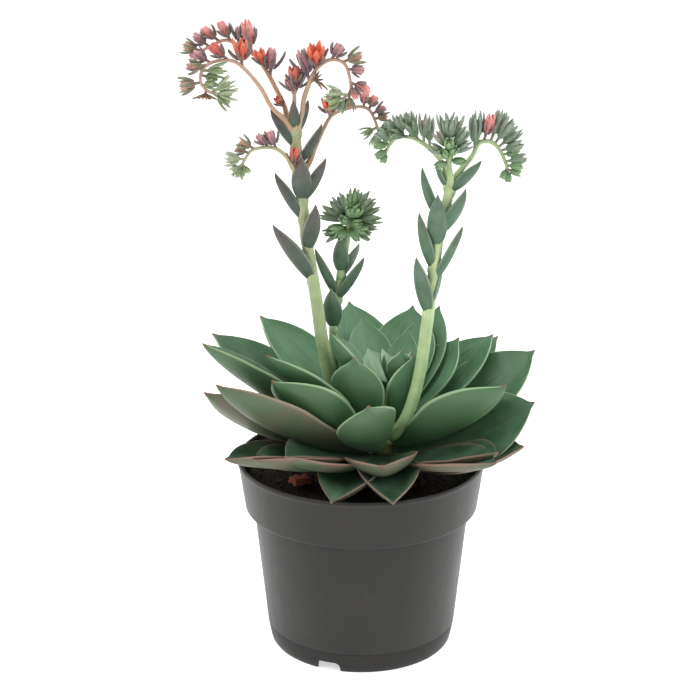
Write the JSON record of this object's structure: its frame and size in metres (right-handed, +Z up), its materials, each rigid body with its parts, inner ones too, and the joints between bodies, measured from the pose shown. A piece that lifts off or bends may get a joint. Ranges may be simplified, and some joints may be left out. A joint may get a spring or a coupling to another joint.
{
  "type": "potted flowering rosette succulent",
  "caption": "Fleshy blue-green rosette succulent with tall arching flower stalks, growing in soil in a round anthracite nursery pot.",
  "frame": {"origin": "centre of the pot's underside, where it stands", "axes": "+Z up; +X to the right and -Y towards the viewer of the plant's front, where the two flower stalks stand side by side"},
  "size_m": [0.1942, 0.1544, 0.3542],
  "materials": {
    "pot": "satin anthracite injection-moulded polypropylene, fine vertical sheen",
    "soil": "dark lumpy peat-based potting soil, dull",
    "clay_chip": "unglazed fired clay, dull orange-red",
    "crown": "fleshy yellow-green stem, satin",
    "leaf": "fleshy blue-green leaf with a dull waxy bloom, pale edge and reddish tip",
    "stalk": "fleshy pale yellow-green flower stalk, satin",
    "flower_head_open": "coral to orange waxy petals, purple-grey sepals",
    "flower_head_young": "grey-green waxy buds and sepals with pink tips"
  },
  "bodies": {
    "root": {"clay_chip": "clay_chip", "crown": "crown", "head_left_1": "flower_head_open", "head_left_2": "flower_head_open", "head_left_3": "flower_head_open", "head_left_4": "flower_head_open", "head_left_5": "flower_head_open", "head_left_6": "flower_head_open", "head_middle": "flower_head_young", "head_right_1": "flower_head_young", "head_right_2": "flower_head_young", "head_right_3": "flower_head_young", "heart": "leaf", "leaf_01": "leaf", "leaf_02": "leaf", "leaf_03": "leaf", "leaf_04": "leaf", "leaf_05": "leaf", "leaf_06": "leaf", "leaf_07": "leaf", "leaf_08": "leaf", "leaf_09": "leaf", "leaf_10": "leaf", "leaf_11": "leaf", "leaf_12": "leaf", "leaf_13": "leaf", "leaf_14": "leaf", "leaf_15": "leaf", "leaf_16": "leaf", "leaf_17": "leaf", "leaf_18": "leaf", "leaf_19": "leaf", "leaf_20": "leaf", "leaf_21": "leaf", "leaf_22": "leaf", "leaf_23": "leaf", "leaf_24": "leaf", "leaf_25": "leaf", "leaf_26": "leaf", "leaf_27": "leaf", "leaf_28": "leaf", "leaf_29": "leaf", "leaf_30": "leaf", "leaf_31": "leaf", "leaf_32": "leaf", "leaf_33": "leaf", "leaf_34": "leaf", "leaf_35": "leaf", "leaf_36": "leaf", "leaf_37": "leaf", "leaf_38": "leaf", "leaf_39": "leaf", "leaf_40": "leaf", "pot": "pot", "soil": "soil", "stalk_left": "stalk", "stalk_middle": "stalk", "stalk_right": "stalk"}
  },
  "joints": []
}
